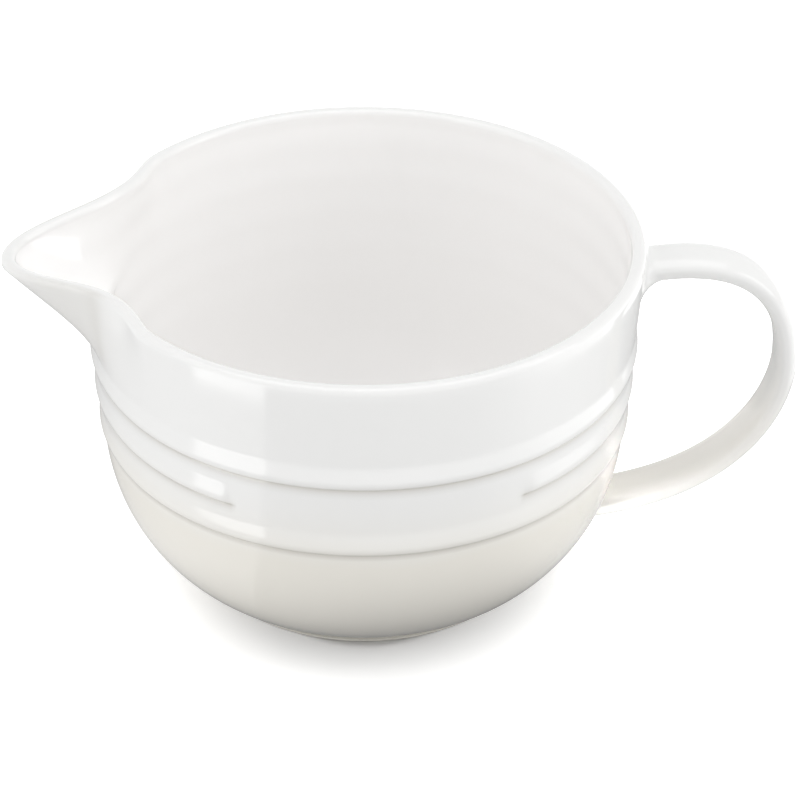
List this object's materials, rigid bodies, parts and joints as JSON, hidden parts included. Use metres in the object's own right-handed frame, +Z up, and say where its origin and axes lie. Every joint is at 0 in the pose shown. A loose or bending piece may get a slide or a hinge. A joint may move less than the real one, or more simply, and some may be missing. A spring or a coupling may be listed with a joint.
{
  "type": "batter bowl",
  "caption": "Round mixing bowl of glazed stoneware with a pulled pouring spout, a strap handle, relief rings round its wall and a bare foot ring.",
  "frame": {"origin": "centre of the foot ring on the surface that the bowl stands on", "axes": "+Z up out of the bowl, the spout towards -X, the handle towards +X"},
  "size_m": [0.2909, 0.2034, 0.1342],
  "materials": {
    "body_glaze": "glossy white glaze, warmer below the rings",
    "spout_glaze": "glossy white glaze",
    "handle_glaze": "glossy white glaze",
    "joint_glaze": "glossy white glaze pooled in the fillets",
    "bare_stoneware": "ground face unglazed and matt, side glazed with the bowl"
  },
  "bodies": {
    "root": {"bowl_body": "body_glaze", "pour_spout": "spout_glaze", "foot_ring": "bare_stoneware", "upper_handle_joint": "joint_glaze", "handle": "handle_glaze", "lower_handle_joint": "joint_glaze"}
  },
  "joints": []
}
